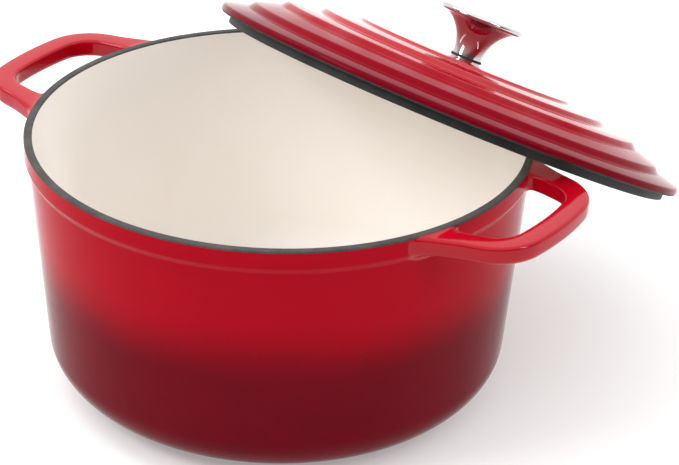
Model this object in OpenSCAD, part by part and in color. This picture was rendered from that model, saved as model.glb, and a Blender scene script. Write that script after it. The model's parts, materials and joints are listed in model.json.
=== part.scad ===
// Round enamelled cast iron dutch oven, its stepped lid leaning on the rim.
// Millimetres, +Z up. The origin is the centre of the pot's base, on the surface it stands on.
// +X points along one loop handle.

/* [Pot] */
// Outer diameter of the rim
rim_d = 260; // [259:0.5:262]
// Height of the rim above the surface
pot_h = 138.7; // [130:0.1:150]
// Inner diameter at the rim
mouth_d = 251.4; // [250:0.1:252]
// Height of the proud band under the rim
band_h = 8.5; // [6:0.5:12]
// Outer radius of the wall just below the band
wall_top_r = 127.6; // [126:0.1:128.5]
// Outer radius of the wall where the bottom corner starts
wall_low_r = 119.2; // [116:0.1:122]
// Height of the bottom corner, outside
corner_h = 26; // [20:1:32]
// How far the bottom corner reaches in, outside
corner_in = 32.5; // [24:0.5:36]
// Thickness of the floor, coats included
floor_t = 4.6; // [4:0.1:7]
// Thickness of each fired coat
coat_t = 0.4; // [0.3:0.05:0.5]

/* [Handles] */
// Radius of the grip's centre line, from the pot's axis
grip_r = 161.1; // [158:0.1:161.5]
// Half angle that the grip spans before it turns in
grip_half_angle = 7.4; // [6:0.1:9]
// Radius of the turn from grip to arm, at the centre line
grip_corner_r = 22; // [19:0.5:24]
// Slant of the arms, measured from the handle's direction
arm_slant = 14; // [10:0.5:18]
// Width of the handle's bar, in plan
bar_w = 12.2; // [11:0.1:13]
// Thickness of the handle's bar
bar_t = 10; // [9:0.5:12]
// How much wider an arm is at its root
root_flare = 1.4; // [1.1:0.05:1.5]
// Depth of the handle's top face below the rim
handle_drop = 1; // [1:0.5:4]

/* [Lid] */
// Outer diameter of the lid
lid_d = 261; // [260:0.5:264]
// Height of the lid's middle above its seat
crown_h = 24.8; // [24.6:0.1:26]
// Outer diameter of the locating ring
ring_d = 248.3; // [246:0.1:249]
// Width of the locating ring
ring_w = 4.75; // [4:0.25:6]
// Depth of the locating ring below the seat
ring_h = 4.6; // [4:0.1:6]
// Rise of the hollow above the seat
hollow_h = 21.1; // [20.9:0.1:21.3]
// Diameter of the hole for the knob's screw
screw_hole_d = 8; // [7:0.5:9]

/* [Knob] */
// Height of the bell, to the underside of its cap
bell_h = 20.6; // [19:0.1:22]
// Diameter of the neck
neck_d = 16; // [15:0.5:17]
// Reach of the flare beyond the neck
flare = 15; // [13:0.5:15.5]
// Diameter of the cap
cap_d = 46.4; // [44:0.2:48]
// Thickness of the cap
cap_t = 3.2; // [2.5:0.1:4]
// Diameter of the screw's thread
thread_d = 6; // [5:1:6]

/* [Leaning lid] */
// Middle of the lid's seat plane, along X
lean_x = 35.2; // [35:0.1:35.4]
// Middle of the lid's seat plane, along Y
lean_y = 106; // [105.8:0.1:106.2]
// Middle of the lid's seat plane, below the rim
lean_drop = 13.4; // [13.2:0.1:13.5]
// Tilt of the lid from level
lean_tilt = 29.1; // [29:0.1:29.2]
// Direction that the lid tilts down to, from +X
lean_towards = 77; // [76.8:0.1:77.2]

/* [Hidden] */

rim_r = rim_d / 2;
mouth_r = mouth_d / 2;
foot_w = 6;
foot_set_in = 0.3;
foot_root = 1;
foot_out_r = wall_low_r - corner_in - foot_set_in;
foot_in_r = foot_out_r - foot_w;
foot_proud = 0.5;
under_band_drop = 14;
rim_edge_r = 1;
mouth_edge_r = 0.8;
floor_z = foot_proud + floor_t;
wall_t = 4;
inner_low_r = wall_low_r - wall_t;
inner_corner_h = 25;
inner_corner_in = 31;
core_below = 1;

handle_top_z = pot_h - handle_drop;
edge_top_r = 2.5;
edge_low_r = 4;
arm_len = 32;
arm_side = 90 - arm_slant;

lid_r = lid_d / 2;
ring_r = ring_d / 2;
ring_in_r = ring_r - ring_w;
spring_z = -1;
screw_hole_r = screw_hole_d / 2;
boss_r = 9.5;
spot_face_r = 7.5;
lid_edge_r = 2;
lid_edge_below_crown = 22.4;
lid_edge_open = 75;
lid_lip_h = 1;
seat_out_r = lid_r - 1;
ring_edge_r = 0.5;
// The lid's steps: radii where each starts and ends, as parts of lid_d, and drops below the crown
LID_STEPS = [
    [0.225, 0.5, 0.233, 2.0],
    [0.303, 3.2, 0.314, 6.1],
    [0.376, 7.4, 0.393, 10.8],
    [0.436, 14.2, 0.455, 18.0]];

neck_r = neck_d / 2;
bell_t = 1.4;
bell_top_angle = 78;
// Level half axis of the bell's ellipse, longer than the flare because the curve stops short
bell_reach = flare + 2;
gasket_t = 0.8;
gasket_lip = 0.6;
gasket_hole_gap = 0.5;
knob_gap = 0.05;
bell_axis = (bell_h - gasket_t) / sin(bell_top_angle);
thread_r = thread_d / 2;
thread_gap = 0.05;
screw_tip_h = 12;
screw_tip_bevel = 0.6;
insert_bore_h = 14;
insert_gap = 0.02;
under_gap = 0.02;
flat_washer_t = 1;
flat_washer_r = 6.2;
flat_washer_gap = 0.2;
lock_washer_t = 0.9;
lock_washer_r = 4.9;
lock_washer_gap = 0.1;
lock_split_w = 0.6;
lock_split_lean = 20;
head_r = 5.1;
head_t = 2.6;
head_edge_w = 1.2;
head_edge_h = 1;
slot_len = 5.2;
slot_w = 1;
slot_depth = 1.2;
// How far a cut runs past the faces that it opens
past = 1;

ENAMEL_RED = [0.72, 0.02, 0.05];
ENAMEL_CREAM = [0.93, 0.88, 0.80];
MATT_BLACK = [0.16, 0.16, 0.16];
RAW_IRON = [0.28, 0.28, 0.29];
STEEL = [0.80, 0.80, 0.82];

// Points of an arc in a profile, from angle a0 to a1
function arc(x, y, r, a0, a1, n) =
    [for (i = [0:n]) let (a = a0 + (a1 - a0) * i / n) [x + r * cos(a), y + r * sin(a)]];

// Points of a smooth S from p to q, whose ends run straight up and down
function s_curve(p, q, n) =
    [for (i = [0:n]) let (t = i / n, e = (1 - cos(180 * t)) / 2)
        [p[0] + (q[0] - p[0]) * e, p[1] + (q[1] - p[1]) * t]];

// Points of a smooth step from p to q, whose ends run level
function step_curve(p, q, n) =
    [for (i = [0:n]) let (t = i / n, e = (1 - cos(180 * t)) / 2)
        [p[0] + (q[0] - p[0]) * t, p[1] + (q[1] - p[1]) * e]];

// Points of an elliptical corner from the flat (angle 90) to a slanted wall (angle 0)
function corner(low_r, flat_z, reach, rise, slant, n) =
    [for (i = [0:n]) let (a = 90 - 90 * i / n, z = flat_z + rise * (1 - sin(a)))
        [low_r - reach * (1 - cos(a)) + slant * (z - flat_z - rise) * cos(a), z]];

function unit(v) = v / norm(v);
function left_of(v) = [-v[1], v[0]];
function reversed(p) = [for (i = [len(p) - 1:-1:0]) p[i]];
function slice(p, from, to) = [for (i = [from:to]) p[i]];

// One corner of a profile moved d to its left, square to both of its sides
function miter(a, b, c, d) =
    let (m = left_of(unit(b - a)), n = left_of(unit(c - b)))
    b + d * (m + n) / (1 + m * n);

// A profile moved d to its left. Its two ends stay on their own radius.
function inset(p, d) =
    let (last = len(p) - 1, first_n = left_of(unit(p[1] - p[0])),
        last_n = left_of(unit(p[last] - p[last - 1])))
    concat([[p[0][0], p[0][1] + d / first_n[1]]],
        [for (i = [1:last - 1]) miter(p[i - 1], p[i], p[i + 1], d)],
        [[p[last][0], p[last][1] + d / last_n[1]]]);

// ---- The pot's finished profile, from the middle of the base round to the middle of the floor

wall_slant = (wall_top_r - wall_low_r) / (pot_h - under_band_drop - foot_proud - corner_h);
inner_slant = (mouth_r - inner_low_r) / (pot_h - floor_z - inner_corner_h);
pot_outside = concat([[0, foot_proud]],
    corner(wall_low_r, foot_proud, corner_in, corner_h, wall_slant, 10),
    s_curve([wall_top_r, pot_h - under_band_drop], [rim_r, pot_h - band_h], 8));
pot_rim = concat(
    arc(rim_r - rim_edge_r, pot_h - rim_edge_r, rim_edge_r, 0, 90, 5),
    arc(mouth_r + mouth_edge_r, pot_h - mouth_edge_r, mouth_edge_r, 90, 180, 5));
pot_inside = concat(
    reversed(corner(inner_low_r, floor_z, inner_corner_in, inner_corner_h, inner_slant, 10)),
    [[0, floor_z]]);
pot_finished = concat(pot_outside, pot_rim, pot_inside);
pot_core = inset(pot_finished, coat_t);
rim_from = len(pot_outside);
rim_to = rim_from + len(pot_rim) - 1;
pot_last = len(pot_finished) - 1;

// ---- The lid's finished profile, from the top of the screw hole round to its lower end

lid_outside = concat(
    [[screw_hole_r, crown_h], [boss_r, crown_h]],
    [for (s = LID_STEPS)
        each step_curve([s[0] * lid_d, crown_h - s[1]], [s[2] * lid_d, crown_h - s[3]], 6)],
    arc(lid_r - lid_edge_r, crown_h - lid_edge_below_crown, lid_edge_r, lid_edge_open, 0, 5),
    [[lid_r, lid_lip_h]]);
lid_seat = concat([[seat_out_r, 0], [ring_r, 0]],
    arc(ring_r - ring_edge_r, ring_edge_r - ring_h, ring_edge_r, 0, -90, 3),
    arc(ring_in_r + ring_edge_r, ring_edge_r - ring_h, ring_edge_r, -90, -180, 3),
    [[ring_in_r, spring_z]]);
hollow_start = acos(spot_face_r / ring_in_r);
hollow_rise = hollow_h - spring_z;
under_z = spring_z + hollow_rise * sin(hollow_start);
lock_washer_z = under_z - under_gap - flat_washer_t - lock_washer_t;
lid_hollow = concat(
    [for (i = [1:14]) let (a = hollow_start * i / 14)
        [ring_in_r * cos(a), spring_z + hollow_rise * sin(a)]],
    [[screw_hole_r, under_z]]);
lid_finished = concat(lid_outside, lid_seat, lid_hollow);
lid_core = inset(lid_finished, -coat_t);
seat_from = len(lid_outside);
seat_to = seat_from + len(lid_seat) - 1;
lid_last = len(lid_finished) - 1;

// A coat between the finished profile and the core, from point `from` to point `to`
module coat(finished, core, from, to) {
    rotate_extrude($fn = 180)
        polygon(concat(slice(finished, from, to), reversed(slice(core, from, to))));
}

// The solid of everything inside the pot's core surface, used to seat the handles on it
module pot_core_block() {
    rotate_extrude($fn = 180)
        polygon(concat([[0, -core_below], [foot_out_r, -core_below]],
            slice(pot_core, 1, rim_from + 2), [[0, pot_core[rim_from + 2][1]]]));
}

module foot_ring() {
    rotate_extrude($fn = 180)
        translate([foot_in_r, 0]) square([foot_w, foot_proud + coat_t + foot_root]);
}

module pot_casting() {
    color(RAW_IRON) union() {
        rotate_extrude($fn = 180) polygon(pot_core);
        foot_ring();
    }
}

module pot_outer_enamel() {
    color(ENAMEL_RED) difference() {
        coat(pot_finished, pot_core, 0, rim_from);
        foot_ring();
        for (side = [0, 180]) rotate([0, 0, side]) handle_bar();
    }
}

module pot_inner_enamel() {
    color(ENAMEL_CREAM) coat(pot_finished, pot_core, rim_to, pot_last);
}

module pot_rim_coat() {
    color(MATT_BLACK) coat(pot_finished, pot_core, rim_from, rim_to);
}

// Outline of the bar's section about its centre line, top face at 0; `wide` scales its width
function bar_outline(wide) =
    let (half = bar_w / 2 * wide)
    concat(
        arc(half - edge_top_r, -edge_top_r, edge_top_r, 0, 90, 4),
        arc(edge_top_r - half, -edge_top_r, edge_top_r, 90, 180, 4),
        arc(edge_low_r - half, edge_low_r - bar_t, edge_low_r, 180, 270, 5),
        arc(half - edge_low_r, edge_low_r - bar_t, edge_low_r, 270, 360, 5));

// Stations along the bar, each [x, y, direction that the bar's outer side faces, width scale].
// The grip follows a circle about the pot's axis, then turns in, then runs straight to the wall.
grip_stations = [for (i = [0:4]) let (a = grip_half_angle * i / 4)
    [grip_r * cos(a), grip_r * sin(a), a, 1]];
turn_middle = (grip_r - grip_corner_r) * [cos(grip_half_angle), sin(grip_half_angle)];
turn_stations = [for (i = [1:12]) let (a = grip_half_angle + (arm_side - grip_half_angle) * i / 12)
    [turn_middle[0] + grip_corner_r * cos(a), turn_middle[1] + grip_corner_r * sin(a), a, 1]];
arm_stations = [for (i = [1:6]) let (d = arm_len * i / 6)
    [turn_middle[0] + grip_corner_r * cos(arm_side) - d * sin(arm_side),
        turn_middle[1] + grip_corner_r * sin(arm_side) + d * cos(arm_side),
        arm_side, 1 + (root_flare - 1) * pow(i / 6, 2)]];
half_stations = concat(grip_stations, turn_stations, arm_stations);
bar_stations = concat(
    [for (s = reversed(slice(half_stations, 1, len(half_stations) - 1))) [s[0], -s[1], -s[2], s[3]]],
    half_stations);

// The bar of one handle, swept through its stations
module handle_bar() {
    rings = len(bar_stations);
    sides = len(bar_outline(1));
    points = [for (s = bar_stations) for (p = bar_outline(s[3]))
        [s[0] + p[0] * cos(s[2]), s[1] + p[0] * sin(s[2]), handle_top_z + p[1]]];
    walls = [for (k = [0:rings - 2]) for (j = [0:sides - 1])
        let (m = (j + 1) % sides, a = k * sides + j, b = k * sides + m,
            c = b + sides, d = a + sides)
        each [[a, b, c], [a, c, d]]];
    near_end = [for (j = [sides - 1:-1:0]) j];
    far_end = [for (j = [0:sides - 1]) (rings - 1) * sides + j];
    polyhedron(points, concat(walls, [near_end, far_end]));
}

module handle() {
    color(ENAMEL_RED) difference() {
        handle_bar();
        pot_core_block();
    }
}

module handle_front() {
    handle();
}

module handle_rear() {
    rotate([0, 0, 180]) handle();
}

// Puts what is modelled on the lid's own axis, seat plane at z = 0, where the lid leans
module on_leaning_lid() {
    translate([lean_x, lean_y, pot_h - lean_drop])
        rotate([0, 0, lean_towards])
            rotate([0, lean_tilt, 0])
                children();
}

module lid_casting() {
    color(RAW_IRON) on_leaning_lid() rotate_extrude($fn = 180) polygon(lid_core);
}

module lid_outer_enamel() {
    color(ENAMEL_RED) on_leaning_lid() coat(lid_finished, lid_core, 0, seat_from);
}

module lid_seat_coat() {
    color(MATT_BLACK) on_leaning_lid() coat(lid_finished, lid_core, seat_from, seat_to);
}

module lid_inner_enamel() {
    color(ENAMEL_CREAM) on_leaning_lid() coat(lid_finished, lid_core, seat_to, lid_last);
}

// Points up the bell to angle `top`, on a quarter ellipse moved `t` towards its hollow
function bell_curve(t, top) = [for (i = [0:10]) let (a = top * i / 10)
    [neck_r + bell_reach * (1 - cos(a)) - t * cos(a), gasket_t + (bell_axis + t) * sin(a)]];

// Puts what is modelled with the knob's base at z = 0 on top of the lid
module on_crown() {
    on_leaning_lid() translate([0, 0, crown_h + knob_gap]) children();
}

module knob_bell() {
    inner_top = asin((bell_h - gasket_t) / (bell_axis + bell_t));
    color(STEEL) on_crown() rotate_extrude($fn = 90)
        polygon(concat(bell_curve(0, bell_top_angle), reversed(bell_curve(bell_t, inner_top))));
}

module knob_cap() {
    edge = cap_t / 2;
    color(STEEL) on_crown() translate([0, 0, bell_h]) rotate_extrude($fn = 90)
        polygon(concat([[0, 0]], arc(cap_d / 2 - edge, edge, edge, -90, 90, 8), [[0, cap_t]]));
}

module knob_insert() {
    post_r = neck_r - bell_t - insert_gap;
    color(STEEL) on_crown() difference() {
        translate([0, 0, gasket_t]) cylinder(h = bell_h - gasket_t, r = post_r, $fn = 60);
        translate([0, 0, -past])
            cylinder(h = insert_bore_h + past, r = thread_r + thread_gap, $fn = 60);
    }
}

module knob_gasket() {
    color(MATT_BLACK) on_crown() difference() {
        cylinder(h = gasket_t, r = neck_r + gasket_lip, $fn = 60);
        translate([0, 0, -past])
            cylinder(h = gasket_t + 2 * past, r = thread_r + gasket_hole_gap, $fn = 60);
    }
}

module flat_washer() {
    color(STEEL) on_leaning_lid() translate([0, 0, lock_washer_z + lock_washer_t])
        difference() {
            cylinder(h = flat_washer_t, r = flat_washer_r, $fn = 60);
            translate([0, 0, -past])
                cylinder(h = flat_washer_t + 2 * past, r = thread_r + flat_washer_gap, $fn = 60);
        }
}

module lock_washer() {
    color(STEEL) on_leaning_lid() translate([0, 0, lock_washer_z])
        difference() {
            cylinder(h = lock_washer_t, r = lock_washer_r, $fn = 60);
            translate([0, 0, -past])
                cylinder(h = lock_washer_t + 2 * past, r = thread_r + lock_washer_gap, $fn = 60);
            rotate([lock_split_lean, 0, 0]) translate([0, -lock_split_w / 2, -3 * past])
                cube([lock_washer_r + past, lock_split_w, 6 * past]);
        }
}

module knob_screw() {
    head_z = lock_washer_z - head_t;
    tip_z = crown_h + screw_tip_h;
    color(STEEL) on_leaning_lid() difference() {
        rotate_extrude($fn = 60)
            polygon([[0, head_z], [head_r - head_edge_w, head_z],
                [head_r, head_z + head_edge_h], [head_r, lock_washer_z],
                [thread_r, lock_washer_z], [thread_r, tip_z - screw_tip_bevel],
                [thread_r - screw_tip_bevel, tip_z], [0, tip_z]]);
        for (turn = [0, 90]) rotate([0, 0, turn])
            translate([-slot_len / 2, -slot_w / 2, head_z - past])
                cube([slot_len, slot_w, slot_depth + past]);
    }
}

pot_casting();
pot_outer_enamel();
pot_inner_enamel();
pot_rim_coat();
handle_front();
handle_rear();
lid_casting();
lid_outer_enamel();
lid_inner_enamel();
lid_seat_coat();
knob_bell();
knob_cap();
knob_insert();
knob_gasket();
knob_screw();
flat_washer();
lock_washer();
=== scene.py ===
"""Round enamelled cast iron dutch oven whose stepped lid leans on its rim.

The sizes in the classes are millimetres. The objects are in metres, +Z up: the pot's axis is the
Z axis, its foot ring stands on z = 0 and its two loop handles lie along X.
"""

import json
import logging
import math
from collections.abc import Callable, Sequence
from dataclasses import dataclass
from enum import Enum
from typing import Any

import bmesh
import bpy
from mathutils import Matrix, Quaternion, Vector


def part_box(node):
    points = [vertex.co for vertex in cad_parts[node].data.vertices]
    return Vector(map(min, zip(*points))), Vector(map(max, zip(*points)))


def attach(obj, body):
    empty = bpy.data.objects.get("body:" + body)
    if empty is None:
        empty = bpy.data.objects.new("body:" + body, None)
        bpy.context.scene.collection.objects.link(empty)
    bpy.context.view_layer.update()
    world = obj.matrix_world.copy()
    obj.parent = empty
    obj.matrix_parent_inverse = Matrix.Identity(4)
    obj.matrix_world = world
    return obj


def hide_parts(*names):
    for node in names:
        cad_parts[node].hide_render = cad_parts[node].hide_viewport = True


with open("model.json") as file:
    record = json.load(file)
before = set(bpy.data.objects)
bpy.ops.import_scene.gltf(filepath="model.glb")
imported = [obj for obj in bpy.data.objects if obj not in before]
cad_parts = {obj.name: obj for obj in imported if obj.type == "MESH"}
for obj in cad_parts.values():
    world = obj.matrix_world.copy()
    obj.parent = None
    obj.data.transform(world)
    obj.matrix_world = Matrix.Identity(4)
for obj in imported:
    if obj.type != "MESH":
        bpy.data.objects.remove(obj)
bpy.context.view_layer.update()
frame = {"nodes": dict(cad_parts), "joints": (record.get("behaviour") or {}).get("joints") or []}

MM = 0.001
LOG = logging.getLogger("dutch_oven")

Point = tuple[float, float]
Triple = tuple[float, float, float]
Colour = Triple


class Body(Enum):
    """The rigid bodies that pieces ride on."""

    POT = "pot"
    LID = "lid"
    KNOB = "knob"


class Slot(Enum):
    """The finishes that the record names."""

    BARE_IRON = "bare_iron"
    RED_ENAMEL = "red_enamel"
    RED_ENAMELLED_IRON = "red_enamelled_iron"
    CREAM_ENAMEL = "cream_enamel"
    MATT_BLACK = "matt_black_enamel"
    POLISHED_STEEL = "polished_steel"
    PLAIN_STEEL = "plain_steel"
    GASKET = "gasket_rubber"


# ---------------------------------------------------------------- shader maths


class Value:
    """One output socket of a material, with arithmetic that adds Math nodes."""

    def __init__(self, graph: "Graph", socket: bpy.types.NodeSocket) -> None:
        """Wraps a socket.

        Args:
            graph: The graph that the socket belongs to.
            socket: The output socket.
        """
        self.graph = graph
        self.socket = socket

    def _math(self, operation: str, *terms: "Value | float") -> "Value":
        """Adds one Math node on the terms."""
        sockets = dict(enumerate(terms))
        return self.graph.node("ShaderNodeMath", {"operation": operation}, sockets)

    def __add__(self, other: "Value | float") -> "Value":
        """self + other."""
        return self._math("ADD", self, other)

    def __radd__(self, other: float) -> "Value":
        """other + self."""
        return self._math("ADD", other, self)

    def __sub__(self, other: "Value | float") -> "Value":
        """self - other."""
        return self._math("SUBTRACT", self, other)

    def __rsub__(self, other: float) -> "Value":
        """other - self."""
        return self._math("SUBTRACT", other, self)

    def __mul__(self, other: "Value | float") -> "Value":
        """self * other."""
        return self._math("MULTIPLY", self, other)

    def __rmul__(self, other: float) -> "Value":
        """other * self."""
        return self._math("MULTIPLY", other, self)

    def __pow__(self, other: "Value | float") -> "Value":
        """self to the power other."""
        return self._math("POWER", self, other)

    def sine(self) -> "Value":
        """The sine, in radians."""
        return self._math("SINE", self)


class Graph:
    """A material's node tree, built from the shader's inputs outwards."""

    def __init__(self, name: str) -> None:
        """Starts an empty material.

        Args:
            name: The material's name.
        """
        self.material = bpy.data.materials.new(name)
        self.material.use_nodes = True
        self.tree = self.material.node_tree
        self.tree.nodes.clear()

    def node(
        self,
        kind: str,
        settings: dict[str, Any] | None = None,
        sockets: dict[int | str, Any] | None = None,
        out: int | str = 0,
    ) -> Value:
        """Adds a node, its settings first and its sockets after.

        Args:
            kind: The node's type.
            settings: Attributes to set.
            sockets: Numbers, colours or Values for the inputs, by name or index.
            out: The output to return, by name or index.

        Returns:
            The chosen output.
        """
        made = self.tree.nodes.new(kind)
        for key, setting in (settings or {}).items():
            setattr(made, key, setting)
        for key, term in (sockets or {}).items():
            if isinstance(term, Value):
                self.tree.links.new(term.socket, made.inputs[key])
            elif isinstance(term, tuple) and made.inputs[key].type == "RGBA":
                made.inputs[key].default_value = (*term, 1.0)
            else:
                made.inputs[key].default_value = term
        return Value(self, made.outputs[out])

    def place(self) -> Value:
        """The point on the object, in metres."""
        return self.node("ShaderNodeTexCoord", out="Object")

    def separate(self, vector: Value) -> tuple[Value, Value, Value]:
        """The three parts of a vector."""
        parts = self.node("ShaderNodeSeparateXYZ", sockets={0: vector})
        return tuple(Value(self, s) for s in parts.socket.node.outputs)

    def noise(self, size: float, detail: float = 2.0, roughness: float = 0.5) -> Value:
        """Soft noise from 0 to 1 whose spots are about `size` millimetres wide."""
        return self.node(
            "ShaderNodeTexNoise",
            sockets={
                "Vector": self.place(),
                "Scale": 1.0 / (size * MM),
                "Detail": detail,
                "Roughness": roughness,
            },
        )

    def ramp(self, value: Value | float, low: float, high: float, start: float = 0.0,
             end: float = 1.0) -> Value:
        """A smooth change from start to end as value goes from low to high."""
        return self.node(
            "ShaderNodeMapRange",
            {"interpolation_type": "SMOOTHSTEP"},
            {0: value, 1: low, 2: high, 3: start, 4: end},
        )

    def mix(self, share: Value | float, first: Value | Colour, second: Value | Colour) -> Value:
        """A colour between two."""
        return self.node("ShaderNodeMix", {"data_type": "RGBA"}, {0: share, 6: first, 7: second}, 2)

    def bump(self, height: Value, depth: float, onto: Value | None = None) -> Value:
        """A normal bent by a height of `depth` millimetres."""
        sockets: dict[int | str, Any] = {"Height": height, "Distance": depth * MM, "Strength": 1.0}
        if onto is not None:
            sockets["Normal"] = onto
        return self.node("ShaderNodeBump", sockets=sockets)

    def finish(self, sockets: dict[str, Any]) -> bpy.types.Material:
        """Ends the graph in a Principled shader.

        Args:
            sockets: The shader's inputs.

        Returns:
            The finished material.
        """
        shader = self.node("ShaderNodeBsdfPrincipled", sockets=sockets)
        output = self.tree.nodes.new("ShaderNodeOutputMaterial")
        self.tree.links.new(shader.socket, output.inputs["Surface"])
        return self.material


# ---------------------------------------------------------------- finishes


@dataclass(frozen=True)
class RedEnamel:
    """Glossy red enamel sprayed from bright to burgundy, with a faint orange peel."""

    name: str
    bright: Colour = (0.385, 0.001, 0.010)
    deep: Colour = (0.118, 0.002, 0.009)
    fade_from: float = 60.0
    fade_to: float = 98.0
    gloss: float = 0.07
    level: float = 0.045
    speckle: float = 14.0

    def speckled(self, graph: Graph) -> Value:
        """A fine random shift, in metres, that breaks up the spray's edge."""
        return (graph.noise(1.1, 3.0, 0.7) - 0.5) * (self.speckle * MM)

    def fade(self, graph: Graph) -> Value:
        """How bright the spray is: 1 at the rim, 0 at the foot, with a speckled edge."""
        height = graph.separate(graph.place())[2]
        drift = (graph.noise(60.0) - 0.5) * (14.0 * MM)
        place = height + drift + self.speckled(graph)
        return graph.ramp(place, self.fade_from * MM, self.fade_to * MM)

    def glaze(self, graph: Graph) -> Value | float:
        """How much clear glaze lies on the red."""
        return 0.0

    def material(self) -> bpy.types.Material:
        """Builds the material."""
        graph = Graph(self.name)
        # On the lid this fade is partly painted shade on the outer steps, on the pot it is the
        # enamel's own ombre.
        faded_red = graph.mix(self.fade(graph), self.deep, self.bright)
        cloud = graph.noise(24.0, 3.0)
        darker = tuple(0.80 * c for c in self.bright)
        colour = graph.mix(cloud * 0.25, faded_red, darker)
        peel = graph.noise(2.6, 1.0)
        wave = graph.noise(17.0, 1.0)
        normal = graph.bump(peel, 0.006, graph.bump(wave, 0.05))
        rough = self.gloss + graph.noise(5.0, 3.0) * 0.06
        return graph.finish({
            "Base Color": colour,
            "Roughness": rough,
            "IOR": 1.5,
            "Specular IOR Level": self.level,
            "Coat Weight": self.glaze(graph),
            "Coat Roughness": self.gloss,
            "Normal": normal,
        })


@dataclass(frozen=True)
class LidEnamel(RedEnamel):
    """Red enamel that deepens outwards from the lid's axis, partly its own ombre and partly painted
    shade on the outer steps, under glaze pooled in the middle.
    """

    speckle: float = 18.0
    centre: Triple = (0.0, 0.0, 0.0)
    turn: Triple = (0.0, 0.0, 0.0)
    pooled: float = 1.0
    pool_from: float = 72.0
    pool_to: float = 112.0

    def out(self, graph: Graph) -> Value:
        """The distance from the lid's axis, in metres."""
        on_lid = graph.node(
            "ShaderNodeMapping",
            {"vector_type": "POINT"},
            {"Vector": graph.place(), "Location": self.centre, "Rotation": self.turn},
        )
        x, y, _ = graph.separate(on_lid)
        return (x * x + y * y) ** 0.5

    def glaze(self, graph: Graph) -> Value | float:
        """How much clear glaze lies on the red: it pools in the middle and thins outwards."""
        drift = (graph.noise(30.0) - 0.5) * (30.0 * MM)
        place = self.out(graph) + drift
        return graph.ramp(place, self.pool_from * MM, self.pool_to * MM, self.pooled, 0.0)

    def fade(self, graph: Graph) -> Value:
        """How bright the red is: 1 in the middle, less towards the edge, partly the enamel's own
        ombre and partly painted shade.
        """
        out = self.out(graph)
        place = out + self.speckled(graph)
        return 1.0 - graph.ramp(place, self.fade_from * MM, self.fade_to * MM)


@dataclass(frozen=True)
class CreamEnamel:
    """Smooth cream enamel with a faint cloud in it."""

    name: str
    cream: Colour = (0.95, 0.905, 0.86)
    tan: Colour = (0.93, 0.875, 0.825)

    def material(self) -> bpy.types.Material:
        """Builds the material."""
        graph = Graph(self.name)
        cloud = graph.ramp(graph.noise(45.0, 3.0), 0.35, 0.75, 0.0, 0.6)
        speck = graph.ramp(graph.noise(0.9, 2.0), 0.70, 0.80, 0.0, 0.35)
        colour = graph.mix(speck, graph.mix(cloud, self.cream, self.tan), self.tan)
        normal = graph.bump(graph.noise(3.0, 1.0), 0.008, graph.bump(graph.noise(20.0, 1.0), 0.05))
        return graph.finish({
            "Base Color": colour,
            "Roughness": 0.16 + graph.noise(6.0, 3.0) * 0.10,
            "IOR": 1.5,
            "Specular IOR Level": 0.45,
            "Normal": normal,
        })


@dataclass(frozen=True)
class MattBlack:
    """Matt black enamel with a fine sandy grain."""

    name: str
    black: Colour = (0.030, 0.028, 0.028)
    grey: Colour = (0.072, 0.066, 0.063)

    def material(self) -> bpy.types.Material:
        """Builds the material."""
        graph = Graph(self.name)
        grain = graph.noise(0.7, 3.0, 0.65)
        patch = graph.noise(9.0, 3.0)
        colour = graph.mix(graph.ramp(grain * 0.6 + patch * 0.4, 0.36, 0.66), self.black, self.grey)
        return graph.finish({
            "Base Color": colour,
            "Roughness": graph.ramp(grain, 0.2, 0.8, 0.48, 0.72),
            "Specular IOR Level": 0.3,
            "Normal": graph.bump(grain, 0.045),
        })


@dataclass(frozen=True)
class CastIron:
    """Bare grey iron: sandy as cast, with rings where it is ground flat."""

    name: str
    dark: Colour = (0.065, 0.063, 0.062)
    light: Colour = (0.21, 0.205, 0.20)

    def material(self) -> bpy.types.Material:
        """Builds the material."""
        graph = Graph(self.name)
        x, y, _ = graph.separate(graph.place())
        rings = ((x * x + y * y) ** 0.5 * (math.tau / (0.45 * MM))).sine()
        sand = graph.noise(0.8, 3.0, 0.6)
        stain = graph.noise(14.0, 3.0)
        share = graph.ramp(sand * 0.4 + stain * 0.5 + rings * 0.08, 0.25, 0.75)
        return graph.finish({
            "Base Color": graph.mix(share, self.dark, self.light),
            "Metallic": 0.85,
            "Roughness": graph.ramp(sand, 0.2, 0.8, 0.42, 0.66),
            "Normal": graph.bump(sand + rings * 0.15, 0.04),
        })


@dataclass(frozen=True)
class Steel:
    """Stainless steel, from mirror-polished to plain turned."""

    name: str
    colour: Colour = (0.58, 0.57, 0.57)
    gloss: float = 0.035
    haze: float = 0.025
    scratch: float = 0.0008

    def material(self) -> bpy.types.Material:
        """Builds the material."""
        graph = Graph(self.name)
        smear = graph.noise(7.0, 4.0, 0.6)
        hair = graph.noise(0.35, 2.0)
        dull = tuple(0.92 * c for c in self.colour)
        return graph.finish({
            "Base Color": graph.mix(graph.ramp(smear, 0.35, 0.75), self.colour, dull),
            "Metallic": 1.0,
            "Roughness": self.gloss + graph.ramp(smear, 0.4, 0.8) * self.haze,
            "Normal": graph.bump(hair, self.scratch),
        })


@dataclass(frozen=True)
class GasketRubber:
    """Dull black rubber."""

    name: str

    def material(self) -> bpy.types.Material:
        """Builds the material."""
        graph = Graph(self.name)
        grain = graph.noise(0.5, 2.0)
        return graph.finish({
            "Base Color": graph.mix(grain, (0.012, 0.012, 0.012), (0.035, 0.033, 0.032)),
            "Roughness": graph.ramp(grain, 0.2, 0.8, 0.55, 0.75),
            "Normal": graph.bump(grain, 0.01),
        })


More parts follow.
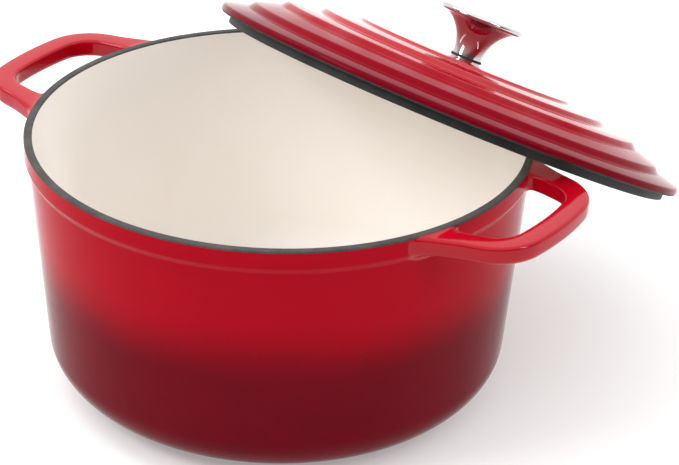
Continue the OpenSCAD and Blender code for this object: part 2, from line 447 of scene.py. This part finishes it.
@dataclass(frozen=True)
class FloorPaper:
    """Plain pale studio paper."""

    name: str
    shade: Colour = (0.68, 0.68, 0.68)
    glow: float = 0.30

    def material(self) -> bpy.types.Material:
        """Builds the material."""
        graph = Graph(self.name)
        tooth = graph.noise(1.5, 2.0)
        soft = tuple(0.985 * c for c in self.shade)
        return graph.finish({
            "Base Color": graph.mix(tooth, self.shade, soft),
            "Roughness": 0.9,
            "Specular IOR Level": 0.1,
            "Emission Color": (1.0, 1.0, 1.0),
            "Emission Strength": self.glow,
        })


# ---------------------------------------------------------------- modelling


class Profile:
    """A line of (radius, height) points in millimetres, drawn in order like a turner's template."""

    def __init__(self, *points: Point) -> None:
        """Starts the line with its first points."""
        self.points: list[Point] = list(points)

    def to(self, *points: Point) -> "Profile":
        """Goes on through more points."""
        self.points += points
        return self

    def arc(self, centre: Point, reach: Point, start: float, end: float, steps: int) -> "Profile":
        """Goes round part of an ellipse.

        Args:
            centre: The ellipse's centre.
            reach: Its half axes, along the radius and the height.
            start: The first angle, in degrees.
            end: The last angle, in degrees.
            steps: The number of parts.

        Returns:
            The same profile.
        """
        for i in range(steps + 1):
            angle = math.radians(start + (end - start) * i / steps)
            self.points.append((
                centre[0] + reach[0] * math.cos(angle),
                centre[1] + reach[1] * math.sin(angle),
            ))
        return self

    def straight(self, end: Point, steps: int) -> "Profile":
        """Goes to a point in equal steps."""
        r0, z0 = self.points[-1]
        for i in range(1, steps + 1):
            t = i / steps
            self.points.append((r0 + (end[0] - r0) * t, z0 + (end[1] - z0) * t))
        return self

    def swing(self, end: Point, steps: int, upright: bool) -> "Profile":
        """Goes to a point on a smooth S.

        Args:
            end: The last point.
            steps: The number of parts.
            upright: Whether the S starts and ends straight up and down, or level.

        Returns:
            The same profile.
        """
        r0, z0 = self.points[-1]
        for i in range(1, steps + 1):
            t = i / steps
            ease = (1.0 - math.cos(math.pi * t)) / 2.0
            across, along = (ease, t) if upright else (t, ease)
            self.points.append((r0 + (end[0] - r0) * across, z0 + (end[1] - z0) * along))
        return self

    def back_at(self, depth: float) -> list[Point]:
        """The line moved `depth` to its left, from its last point back to its first."""
        moved: list[Point] = []
        last = len(self.points) - 1
        for i, (r, z) in enumerate(self.points):
            r0, z0 = self.points[max(i - 1, 0)]
            r1, z1 = self.points[min(i + 1, last)]
            run = math.hypot(r1 - r0, z1 - z0)
            moved.append((
                max(r - depth * (z1 - z0) / run, 0.0) if r > 1e-6 else 0.0,
                z + depth * (r1 - r0) / run,
            ))
        return moved[::-1]


class Bench:
    """The operators that pieces are modelled with."""

    @staticmethod
    def clear() -> None:
        """Leaves edit mode and deselects everything."""
        if bpy.context.object and bpy.context.object.mode != "OBJECT":
            bpy.ops.object.mode_set(mode="OBJECT")
        bpy.ops.object.select_all(action="DESELECT")

    @staticmethod
    def point(name: str, at: Vector) -> bpy.types.Object:
        """Starts a piece as a single selected point, in edit mode.

        Args:
            name: The piece's name.
            at: The point's place.

        Returns:
            The new object.
        """
        Bench.clear()
        bpy.ops.mesh.primitive_plane_add(size=MM, enter_editmode=True)
        made = bpy.context.object
        made.name = name
        made.data.name = name
        bpy.ops.mesh.select_all(action="SELECT")
        bpy.ops.mesh.merge(type="CENTER")
        bpy.ops.transform.translate(value=at)
        return made

    @staticmethod
    def draw(points: Sequence[Point]) -> None:
        """Extrudes the selected point along a profile, given in millimetres."""
        for (r0, z0), (r1, z1) in zip(points, points[1:]):
            step = ((r1 - r0) * MM, 0.0, (z1 - z0) * MM)
            bpy.ops.mesh.extrude_region_move(TRANSFORM_OT_translate={"value": step})

    @staticmethod
    def turned(name: str, points: Sequence[Point], segments: int) -> bpy.types.Object:
        """Turns a profile round the Z axis into a closed piece.

        Args:
            name: The piece's name.
            points: The profile in millimetres. It starts and ends on the axis, or ends where it
                starts.
            segments: The number of parts round the axis.

        Returns:
            The finished object.
        """
        made = Bench.point(name, Vector((points[0][0] * MM, 0.0, points[0][1] * MM)))
        Bench.draw(points)
        bpy.ops.mesh.select_all(action="SELECT")
        bpy.ops.mesh.spin(steps=segments, angle=math.tau, center=(0, 0, 0), axis=(0, 0, 1))
        Bench.tidy()
        return made

    @staticmethod
    def tidy(merge: float = 0.004) -> None:
        """Merges doubles, points the faces outwards and leaves edit mode."""
        bpy.ops.mesh.select_all(action="SELECT")
        bpy.ops.mesh.remove_doubles(threshold=merge * MM)
        bpy.ops.mesh.normals_make_consistent(inside=False)
        bpy.ops.object.mode_set(mode="OBJECT")

    @staticmethod
    def smooth(made: bpy.types.Object, angle: float = 35.0) -> None:
        """Shades a piece smooth, apart from its corners."""
        Bench.clear()
        made.select_set(True)
        bpy.context.view_layer.objects.active = made
        bpy.ops.object.shade_smooth_by_angle(angle=math.radians(angle))

    @staticmethod
    def lofted(name: str, rings: Sequence[Sequence[Vector]]) -> bpy.types.Object:
        """Extrudes a closed outline from ring to ring and closes both ends.

        Args:
            name: The piece's name.
            rings: Outlines with the same number of points, in metres.

        Returns:
            The finished object.
        """
        Bench.clear()
        bpy.ops.mesh.primitive_circle_add(
            vertices=len(rings[0]), radius=MM, fill_type="NOTHING", enter_editmode=True)
        made = bpy.context.object
        made.name = name
        made.data.name = name
        start = bmesh.from_edit_mesh(made.data)
        start.verts.ensure_lookup_table()
        for vert, place in zip(start.verts, rings[0]):
            vert.co = place
        bmesh.update_edit_mesh(made.data)
        bpy.ops.mesh.select_all(action="SELECT")
        for last, ring in zip(rings, rings[1:]):
            bpy.ops.mesh.extrude_region_move(TRANSFORM_OT_translate={"value": (0, 0, 0)})
            mesh = bmesh.from_edit_mesh(made.data)
            for vert in (v for v in mesh.verts if v.select):
                nearest = min(range(len(last)), key=lambda i: (last[i] - vert.co).length_squared)
                vert.co = ring[nearest]
            bmesh.update_edit_mesh(made.data)
        bpy.ops.mesh.edge_face_add()
        bpy.ops.mesh.select_all(action="DESELECT")
        bpy.ops.mesh.select_mode(type="EDGE")
        bpy.ops.mesh.select_non_manifold()
        bpy.ops.mesh.edge_face_add()
        bpy.ops.mesh.select_mode(type="VERT")
        Bench.tidy(0.0005)
        return made

    @staticmethod
    def turned_to(made: bpy.types.Object, pose: Matrix) -> None:
        """Puts an upright piece in its place and applies the move to its mesh."""
        Bench.clear()
        made.select_set(True)
        bpy.context.view_layer.objects.active = made
        made.matrix_world = pose
        bpy.ops.object.transform_apply(location=True, rotation=True, scale=True)

    @staticmethod
    def joined(first: bpy.types.Object, *others: bpy.types.Object) -> bpy.types.Object:
        """Joins pieces into the first."""
        Bench.clear()
        for made in (first, *others):
            made.select_set(True)
        bpy.context.view_layer.objects.active = first
        bpy.ops.object.join()
        return first


def fit_out(made: bpy.types.Object, body: Body, material: bpy.types.Material,
            stands_for: Sequence[str]) -> None:
    """Dresses a new piece and ties it to the frame.

    Args:
        made: The piece.
        body: The body that it rides on.
        material: Its material.
        stands_for: The CAD nodes that it replaces.
    """
    Bench.smooth(made)
    made.data.materials.clear()
    made.data.materials.append(material)
    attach(made, body.value)
    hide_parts(*stands_for)
    corners = [Vector(c) for c in made.bound_box]
    low = [min(c[i] for c in corners) / MM for i in range(3)]
    high = [max(c[i] for c in corners) / MM for i in range(3)]
    cad_low = [min(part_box(n)[0][i] for n in stands_for) / MM for i in range(3)]
    cad_high = [max(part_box(n)[1][i] for n in stands_for) / MM for i in range(3)]
    off = max(abs(a - b) for a, b in zip(low + high, cad_low + cad_high))
    LOG.info("%s: %d faces, on %s, box within %.2f mm of its nodes", made.name,
             len(made.data.polygons), body.value, off)


def dress_node(node: str, material: bpy.types.Material) -> None:
    """Gives a CAD node that stays in view its material."""
    made = frame["nodes"][node]
    made.data.materials.clear()
    made.data.materials.append(material)
    LOG.info("%s: CAD node in %s", node, material.name)


# ---------------------------------------------------------------- the pot


@dataclass(frozen=True)
class Pot:
    """The pot: red outside, cream inside, a matt black rim and a bare foot ring."""

    rim_r: float = 130.0
    height: float = 138.7
    mouth_r: float = 125.7
    band_h: float = 8.5
    under_band: float = 14.0
    wall_top_r: float = 127.6
    wall_low_r: float = 119.2
    corner_h: float = 26.0
    corner_in: float = 32.5
    inner_low_r: float = 115.2
    inner_corner_h: float = 25.0
    inner_corner_in: float = 31.0
    base_z: float = 0.5
    floor_z: float = 5.1
    floor_rings: tuple[float, ...] = (0.0, 30.0, 60.0)
    foot_in_r: float = 80.4
    foot_out_r: float = 86.4
    rim_edge: float = 1.0
    mouth_edge: float = 0.8
    coat: float = 0.4
    wall_steps: int = 12
    band_steps: int = 16
    corner_steps: int = 28
    edge_steps: int = 8
    segments: int = 192

    def wall_r(self, z: float) -> float:
        """The outside radius at a height near the handles, in millimetres."""
        edge_z = self.height - self.rim_edge
        if z > edge_z:
            return self.rim_r - self.rim_edge + math.sqrt(self.rim_edge**2 - (z - edge_z) ** 2)
        top, low = self.height - self.band_h, self.height - self.under_band
        if z > top:
            return self.rim_r
        if z > low:
            ease = (1.0 - math.cos(math.pi * (z - low) / (top - low))) / 2.0
            return self.wall_top_r + (self.rim_r - self.wall_top_r) * ease
        return self.wall_top_r - (low - z) * self.slant()

    def slant(self) -> float:
        """How much the outside radius grows with height."""
        rise = self.height - self.under_band - self.base_z - self.corner_h
        return (self.wall_top_r - self.wall_low_r) / rise

    def corner(self, low_r: float, flat_z: float, reach: float, rise: float,
               slant: float) -> list[Point]:
        """Points of a bottom corner, from the flat to the slanted wall."""
        points: list[Point] = []
        for i in range(self.corner_steps + 1):
            a = math.radians(90.0 - 90.0 * i / self.corner_steps)
            z = flat_z + rise * (1.0 - math.sin(a))
            lean = slant * (z - flat_z - rise) * math.cos(a)
            points.append((low_r - reach * (1.0 - math.cos(a)) + lean, z))
        return points

    def outside(self) -> bpy.types.Object:
        """The red coat, from the foot ring up to the rim's outer edge."""
        curve = self.corner(self.wall_low_r, self.base_z, self.corner_in, self.corner_h,
                            self.slant())
        line = Profile((self.foot_out_r, self.base_z)).to(*curve)
        line.straight((self.wall_top_r, self.height - self.under_band), self.wall_steps)
        line.swing((self.rim_r, self.height - self.band_h), self.band_steps, upright=True)
        line.to((self.rim_r, self.height - self.band_h / 2),
                (self.rim_r, self.height - self.rim_edge))
        wall = Bench.turned("pot_red_enamel", line.points + line.back_at(self.coat)
                            + line.points[:1], self.segments)
        disc = Profile((0.0, self.base_z)).to((self.foot_in_r, self.base_z))
        under = Bench.turned("pot_base_enamel", disc.points + disc.back_at(self.coat),
                             self.segments)
        return Bench.joined(wall, under)

    def inside(self) -> bpy.types.Object:
        """The cream coat, from the middle of the floor up to the rim's inner edge."""
        slant = (self.mouth_r - self.inner_low_r) / (self.height - self.floor_z
                                                    - self.inner_corner_h)
        curve = self.corner(self.inner_low_r, self.floor_z, self.inner_corner_in,
                            self.inner_corner_h, slant)
        line = Profile(*((r, self.floor_z) for r in self.floor_rings)).to(*curve)
        line.straight((self.mouth_r, self.height - self.mouth_edge), self.wall_steps)
        return Bench.turned("pot_cream_enamel", line.points + line.back_at(-self.coat),
                            self.segments)

    def rim(self) -> bpy.types.Object:
        """The matt black coat over the top of the rim."""
        line = Profile()
        line.arc((self.rim_r - self.rim_edge, self.height - self.rim_edge),
                 (self.rim_edge, self.rim_edge), 0.0, 90.0, self.edge_steps)
        line.arc((self.mouth_r + self.mouth_edge, self.height - self.mouth_edge),
                 (self.mouth_edge, self.mouth_edge), 90.0, 180.0, self.edge_steps)
        return Bench.turned("pot_rim_enamel", line.points + line.back_at(self.coat)
                            + line.points[:1], self.segments)

    def build(self) -> None:
        """Makes and dresses the pot's pieces."""
        fit_out(self.outside(), Body.POT, RedEnamel("pot_red").material(),
                ["pot_outer_enamel"])
        fit_out(self.inside(), Body.POT, CreamEnamel("pot_cream").material(),
                ["pot_inner_enamel"])
        fit_out(self.rim(), Body.POT, MattBlack("rim_black").material(),
                ["pot_rim_coat"])
        dress_node("pot_casting", CastIron("pot_iron").material())


# ---------------------------------------------------------------- the handles


@dataclass(frozen=True)
class LoopHandle:
    """A flat-topped loop handle that flows into the pot's wall."""

    pot: Pot
    grip_r: float = 161.1
    half_angle: float = 7.4
    turn_r: float = 22.0
    slant: float = 14.0
    width: float = 12.2
    thickness: float = 10.0
    top_edge: float = 1.9
    low_edge: float = 3.6
    flare: float = 1.4
    flare_len: float = 32.0
    drop: float = 1.0
    root_reach: float = 6.0
    root_spread: float = 5.0
    root_rise: float = 0.12
    root_fall: float = 0.8
    sinks: tuple[float, ...] = (0.15, 2.0)
    corner_steps: int = 7
    grip_steps: int = 6
    turn_steps: int = 16
    arm_steps: int = 6
    root_steps: int = 9
    halvings: int = 40

    def outline(self) -> list[tuple[Point, Point]]:
        """The bar's section as (across, up) points and the way that each one faces."""
        found: list[tuple[Point, Point]] = []
        half = self.width / 2
        corners = [
            (half, 0.0, self.top_edge, 0.0), (-half, 0.0, self.top_edge, 90.0),
            (-half, -self.thickness, self.low_edge, 180.0),
            (half, -self.thickness, self.low_edge, 270.0),
        ]
        steps = self.corner_steps
        for x, z, r, start in corners:
            cx = x - math.copysign(r, x)
            cz = -r if z == 0.0 else z + r
            for i in range(steps + 1):
                a = math.radians(start + 90.0 * i / steps)
                found.append(((cx + r * math.cos(a), cz + r * math.sin(a)),
                              (math.cos(a), math.sin(a))))
        return found

    def section(self, x: float, y: float, facing: float, wide: float) -> list[Vector]:
        """One ring of the bar.

        Args:
            x: The centre line's place along the handle, in millimetres.
            y: The centre line's place across it.
            facing: The direction that the outer side faces, in degrees.
            wide: The width's scale.

        Returns:
            The ring's points in metres.
        """
        top = self.pot.height - self.drop
        out = Vector((math.cos(math.radians(facing)), math.sin(math.radians(facing)), 0.0))
        return [(Vector((x, y, top + z)) + out * (u * wide)) * MM
                for (u, z), _ in self.outline()]

    def root(self, start: Vector, into: Vector, side: Vector) -> list[list[Vector]]:
        """The rings that spread from the arm onto the wall.

        Args:
            start: Where the arm begins, in millimetres.
            into: The arm's direction towards the wall.
            side: The direction that its outer side faces.

        Returns:
            The rings, the last of them inside the wall.
        """
        top = self.pot.height - self.drop

        def meets(u: float, z: float, wide: bool) -> tuple[float, float]:
            """How far along the arm a line on it meets the wall, and its offset there."""
            low, high = 0.0, 2.0 * self.flare_len
            for _ in range(self.halvings):
                mid = (low + high) / 2
                offset = u * self.widening(mid) if wide else u
                place = start + into * mid + side * offset
                if math.hypot(place.x, place.y) > self.pot.wall_r(top + z):
                    low = mid
                else:
                    high = mid
            return low, u * self.widening(low) if wide else u

        rings: list[list[Vector]] = []
        steps = self.root_steps
        for k in range(steps + 1):
            phi = math.radians(90.0 * k / steps)
            ring = []
            for (u, z), (nu, nz) in self.outline():
                _, offset = meets(u, z, True)
                spread = self.root_spread * (1.0 - math.cos(phi))
                up = nz * (self.root_rise if nz > 0 else self.root_fall)
                u2, z2 = offset + nu * spread, z + up * spread
                reach, _ = meets(u2, z2, False)
                back = reach - self.root_reach * (1.0 - math.sin(phi))
                place = start + into * back + side * u2
                ring.append(Vector((place.x, place.y, top + z2)) * MM)
            rings.append(ring)
        for sink in self.sinks:
            ring = []
            for place in rings[steps]:
                radius = math.hypot(place.x, place.y)
                scale = 1.0 - sink * MM / radius
                ring.append(Vector((place.x * scale, place.y * scale, place.z)))
            rings.append(ring)
        return rings

    def widening(self, along: float) -> float:
        """How much wider the arm is at a distance along it."""
        return 1.0 + (self.flare - 1.0) * (along / self.flare_len) ** 2

    def half(self) -> list[list[Vector]]:
        """The rings from the middle of the grip to one root."""
        rings: list[list[Vector]] = []
        for i in range(self.grip_steps + 1):
            a = self.half_angle * i / self.grip_steps
            rings.append(self.section(self.grip_r * math.cos(math.radians(a)),
                                      self.grip_r * math.sin(math.radians(a)), a, 1.0))
        near = math.radians(self.half_angle)
        cx = (self.grip_r - self.turn_r) * math.cos(near)
        cy = (self.grip_r - self.turn_r) * math.sin(near)
        end = 90.0 - self.slant
        for i in range(1, self.turn_steps + 1):
            a = self.half_angle + (end - self.half_angle) * i / self.turn_steps
            rings.append(self.section(cx + self.turn_r * math.cos(math.radians(a)),
                                      cy + self.turn_r * math.sin(math.radians(a)), a, 1.0))
        side = Vector((math.cos(math.radians(end)), math.sin(math.radians(end)), 0.0))
        into = Vector((-side.y, side.x, 0.0))
        start = Vector((cx, cy, 0.0)) + side * self.turn_r
        flow = self.root(start, into, side)
        clear = min((p / MM - start).dot(into) for p in flow[0])
        for i in range(1, self.arm_steps):
            along = clear * i / self.arm_steps
            place = start + into * along
            rings.append(self.section(place.x, place.y, end, self.widening(along)))
        return rings + flow

    def build(self, front: str, rear: str) -> None:
        """Makes one handle and its turned copy.

        Args:
            front: The front handle's CAD node.
            rear: The rear handle's CAD node.
        """
        half = self.half()
        other = [[Vector((p.x, -p.y, p.z)) for p in ring] for ring in half[1:]]
        red = RedEnamel("handle_red", bright=(0.40, 0.001, 0.010), gloss=0.05, level=0.26)
        material = red.material()
        first = Bench.lofted("handle_loop_front", other[::-1] + half)
        Bench.clear()
        first.select_set(True)
        bpy.context.view_layer.objects.active = first
        bpy.ops.object.duplicate(linked=False)
        second = bpy.context.object
        second.name = "handle_loop_rear"
        second.data.name = second.name
        Bench.turned_to(second, Matrix.Rotation(math.pi, 4, "Z"))
        fit_out(first, Body.POT, material, [front])
        fit_out(second, Body.POT, material, [rear])


# ---------------------------------------------------------------- the lid


def leaning_pose() -> Matrix:
    """Where the lid leans, from its knob's joint: the seat plane's middle and the lid's axis."""
    joint = next(j for j in frame["joints"] if j["name"] == "knob_turn")
    turn = Vector((0.0, 0.0, 1.0)).rotation_difference(Vector(joint["axis"]))
    return Matrix.Translation(Vector(joint["pos_m"])) @ turn.to_matrix().to_4x4()


@dataclass(frozen=True)
class Lid:
    """The lid: red steps on top, a cream hollow and a matt black seat between them."""

    radius: float = 130.5
    crown: float = 24.8
    hole_r: float = 4.0
    boss_r: float = 9.5
    ring_r: float = 124.15
    ring_w: float = 4.75
    ring_h: float = 4.6
    ring_edge: float = 0.5
    hollow: float = 21.1
    spring_z: float = -1.0
    spot_r: float = 7.5
    seat_r: float = 129.5
    coat: float = 0.4
    edge_r: float = 2.0
    edge_z: float = 2.4
    edge_open: float = 75.0
    lip_z: float = 1.0
    steps: tuple[tuple[float, float, float, float], ...] = (
        (58.725, 24.3, 60.813, 22.8),
        (79.083, 21.6, 81.954, 18.7),
        (98.136, 17.4, 102.573, 14.0),
        (113.796, 10.6, 118.755, 6.8),
    )
    step_parts: int = 10
    edge_steps: int = 8
    ring_steps: int = 5
    dome_steps: int = 40
    segments: int = 192

    def outside(self) -> bpy.types.Object:
        """The stepped red coat."""
        line = Profile((self.hole_r, self.crown), (self.boss_r, self.crown))
        for start_r, start_z, end_r, end_z in self.steps:
            line.to((start_r, start_z)).swing((end_r, end_z), self.step_parts, upright=False)
        centre = (self.radius - self.edge_r, self.edge_z)
        reach = (self.edge_r, self.edge_r)
        line.arc(centre, reach, self.edge_open, 0.0, self.edge_steps)
        line.to((self.radius, self.lip_z))
        return Bench.turned("lid_red_enamel", line.points + line.back_at(-self.coat)
                            + line.points[:1], self.segments)

    def seat(self) -> bpy.types.Object:
        """The matt black seat and locating ring."""
        edge = self.ring_edge
        inner = self.ring_r - self.ring_w
        line = Profile((self.radius, self.lip_z), (self.seat_r, 0.0), (self.ring_r, 0.0))
        low = edge - self.ring_h
        line.arc((self.ring_r - edge, low), (edge, edge), 0.0, -90.0, self.ring_steps)
        line.arc((inner + edge, low), (edge, edge), -90.0, -180.0, self.ring_steps)
        line.to((inner, self.spring_z))
        return Bench.turned("lid_seat_enamel", line.points + line.back_at(-self.coat)
                            + line.points[:1], self.segments)

    def inside(self) -> bpy.types.Object:
        """The cream hollow."""
        inner = self.ring_r - self.ring_w
        rise = self.hollow - self.spring_z
        start = math.degrees(math.acos(self.spot_r / inner))
        line = Profile().arc((0.0, self.spring_z), (inner, rise), 0.0, start, self.dome_steps)
        line.to((self.hole_r, line.points[-1][1]))
        return Bench.turned("lid_cream_enamel", line.points + line.back_at(-self.coat)
                            + line.points[:1], self.segments)

    def build(self, pose: Matrix) -> None:
        """Makes and dresses the lid's pieces where it leans."""
        upright = pose.inverted()
        red = LidEnamel(
            # fade_from and fade_to darken the outer steps: partly the enamel's own ombre, partly
            # painted shade.
            "lid_red", bright=(0.41, 0.001, 0.011), level=0.03, fade_from=74.0, fade_to=138.0,
            centre=tuple(upright.translation), turn=tuple(upright.to_euler()))
        cream = CreamEnamel("lid_cream")
        black = MattBlack("seat_black", black=(0.012, 0.013, 0.013), grey=(0.035, 0.037, 0.036))
        jobs: list[tuple[Callable[[], bpy.types.Object], Slot, bpy.types.Material, str]] = [
            (self.outside, Slot.RED_ENAMEL, red.material(), "lid_outer_enamel"),
            (self.inside, Slot.CREAM_ENAMEL, cream.material(), "lid_inner_enamel"),
            (self.seat, Slot.MATT_BLACK, black.material(), "lid_seat_coat"),
        ]
        for make, slot, material, node in jobs:
            made = make()
            Bench.turned_to(made, pose)
            fit_out(made, Body.LID, material, [node])
        dress_node("lid_casting", CastIron("lid_iron").material())
        plain = Steel("plain_steel", colour=(0.60, 0.60, 0.60), gloss=0.22, haze=0.12,
                      scratch=0.006).material()
        for node in ("knob_screw", "flat_washer", "lock_washer"):
            dress_node(node, plain)


# ---------------------------------------------------------------- the knob


@dataclass(frozen=True)
class Knob:
    """The polished trumpet knob on its gasket."""

    base_z: float = 24.85
    neck_r: float = 8.0
    bell_h: float = 20.6
    gasket: float = 0.8
    reach: float = 17.0
    top_angle: float = 78.0
    wall: float = 1.4
    cap_r: float = 23.2
    cap_t: float = 3.2
    bell_steps: int = 28
    cap_steps: int = 16
    segments: int = 128

    def bell(self) -> bpy.types.Object:
        """The flared neck."""
        rise = (self.bell_h - self.gasket) / math.sin(math.radians(self.top_angle))
        low = self.base_z + self.gasket
        inner_top = math.degrees(math.asin((self.bell_h - self.gasket) / (rise + self.wall)))
        line = Profile()
        count = self.bell_steps
        for angle, shift in ((self.top_angle, 0.0), (inner_top, self.wall)):
            side = [
                (self.neck_r + self.reach * (1.0 - math.cos(a)) - shift * math.cos(a),
                 low + (rise + shift) * math.sin(a))
                for a in (math.radians(angle * i / count) for i in range(count + 1))
            ]
            line.to(*(side if shift == 0.0 else side[::-1]))
        line.to(line.points[0])
        return Bench.turned("knob_neck", line.points, self.segments)

    def cap(self) -> bpy.types.Object:
        """The flat disc on top."""
        low = self.base_z + self.bell_h
        edge = self.cap_t / 2
        line = Profile((0.0, low))
        line.arc((self.cap_r - edge, low + edge), (edge, edge), -90.0, 90.0, self.cap_steps)
        line.to((0.0, low + self.cap_t))
        return Bench.turned("knob_disc", line.points, self.segments)

    def build(self, pose: Matrix) -> None:
        """Makes and dresses the knob's pieces on the leaning lid."""
        steel = Steel("knob_steel").material()
        for made, node in ((self.bell(), "knob_bell"), (self.cap(), "knob_cap")):
            Bench.turned_to(made, pose)
            fit_out(made, Body.KNOB, steel, [node])
        dress_node("knob_insert", Steel("insert_steel", gloss=0.2).material())
        dress_node("knob_gasket", GasketRubber("knob_gasket_black").material())


# ---------------------------------------------------------------- the studio


@dataclass(frozen=True)
class Softbox:
    """A large soft light."""

    name: str
    place: Triple
    size: tuple[float, float]
    watts: float
    aim: Triple = (0.0, 0.0, 0.1)

    def build(self) -> None:
        """Adds the light."""
        data = bpy.data.lights.new(self.name, "AREA")
        data.shape = "RECTANGLE"
        data.size, data.size_y = self.size
        data.energy = self.watts
        light = bpy.data.objects.new(self.name, data)
        bpy.context.scene.collection.objects.link(light)
        light.location = self.place
        way = Vector(self.aim) - Vector(self.place)
        light.rotation_mode = "QUATERNION"
        light.rotation_quaternion = way.to_track_quat("-Z", "Y")


@dataclass(frozen=True)
class Camera:
    """The camera: where it aims, from how far, and how it is turned."""

    aim: Triple = (0.03887, -0.00178, 0.09320)
    distance: float = 1.43
    azimuth: float = 33.0928
    elevation: float = 27.9426
    roll: float = 1.7068
    lens: float = 148.991
    sensor: float = 36.0
    clip: tuple[float, float] = (0.05, 50.0)

    def build(self) -> None:
        """Adds the camera and makes it the scene's."""
        data = bpy.data.cameras.new("camera")
        data.lens = self.lens
        data.sensor_width = self.sensor
        data.clip_start, data.clip_end = self.clip
        camera = bpy.data.objects.new("camera", data)
        bpy.context.scene.collection.objects.link(camera)
        a, e = math.radians(self.azimuth), math.radians(self.elevation)
        back = Vector((math.sin(a) * math.cos(e), -math.cos(a) * math.cos(e), math.sin(e)))
        camera.location = Vector(self.aim) + back * self.distance
        camera.rotation_mode = "QUATERNION"
        turn = Quaternion((0.0, 0.0, 1.0), math.radians(self.roll))
        camera.rotation_quaternion = (-back).to_track_quat("-Z", "Y") @ turn
        bpy.context.scene.camera = camera


@dataclass(frozen=True)
class Studio:
    """The pale floor, the soft light and the camera."""

    floor_half: float = 6.0
    camera: Camera = Camera()
    front: float = 0.08
    back: float = 1.3
    overhead: float = 1.6
    walls_fade: tuple[float, float] = (-0.45, 0.6)
    overhead_fade: tuple[float, float] = (0.35, 0.85)
    softboxes: tuple[Softbox, ...] = (
        Softbox("key", place=(-0.8, -1.2, 1.4), size=(0.7, 0.7), watts=15.0),
        Softbox("strip", place=(-1.1, -0.1, 1.5), size=(0.2, 1.1), watts=6.0),
        Softbox("fill", place=(1.6, 0.2, 1.2), size=(0.2, 0.9), watts=6.0),
    )

    def sky(self) -> bpy.types.World:
        """Soft light all round: dim behind the camera, bright over and behind the oven."""
        world = bpy.data.worlds.new("studio")
        world.use_nodes = True
        tree = world.node_tree
        light = tree.nodes["Background"]
        away = math.radians(self.camera.azimuth)
        place = tree.nodes.new("ShaderNodeTexCoord")
        along = tree.nodes.new("ShaderNodeVectorMath")
        along.operation = "DOT_PRODUCT"
        along.inputs[1].default_value = (-math.sin(away), math.cos(away), 0.0)
        tree.links.new(place.outputs["Generated"], along.inputs[0])
        parts = tree.nodes.new("ShaderNodeSeparateXYZ")
        tree.links.new(place.outputs["Generated"], parts.inputs[0])
        walls = self.fade(tree, along.outputs["Value"], *self.walls_fade, self.front, self.back)
        up = self.fade(tree, parts.outputs["Z"], *self.overhead_fade, 0.0, 1.0)
        both = tree.nodes.new("ShaderNodeMix")
        tree.links.new(up.outputs[0], both.inputs[0])
        tree.links.new(walls.outputs[0], both.inputs[2])
        both.inputs[3].default_value = self.overhead
        tree.links.new(both.outputs[0], light.inputs["Strength"])
        light.inputs["Color"].default_value = (1.0, 1.0, 1.0, 1.0)
        return world

    @staticmethod
    def fade(tree: bpy.types.NodeTree, value: bpy.types.NodeSocket, low: float, high: float,
             start: float, end: float) -> bpy.types.Node:
        """Adds a smooth change of brightness to the sky."""
        made = tree.nodes.new("ShaderNodeMapRange")
        made.interpolation_type = "SMOOTHSTEP"
        tree.links.new(value, made.inputs[0])
        for index, number in enumerate((low, high, start, end), 1):
            made.inputs[index].default_value = number
        return made

    def build(self) -> None:
        """Builds the studio."""
        Bench.clear()
        bpy.ops.mesh.primitive_plane_add(size=2.0 * self.floor_half)
        floor = bpy.context.object
        floor.name = "floor"
        floor.data.materials.append(FloorPaper("floor_paper").material())
        bpy.context.scene.world = self.sky()
        for softbox in self.softboxes:
            softbox.build()
        self.camera.build()
        bpy.context.scene.view_settings.view_transform = "Standard"


def main() -> None:
    """Builds the oven and its studio in order."""
    logging.basicConfig(level=logging.INFO, format="%(name)s: %(message)s")
    pose = leaning_pose()
    pot = Pot()
    pot.build()
    LoopHandle(pot).build("handle_front", "handle_rear")
    Lid().build(pose)
    Knob().build(pose)
    Studio().build()


if __name__ == "__main__":
    main()
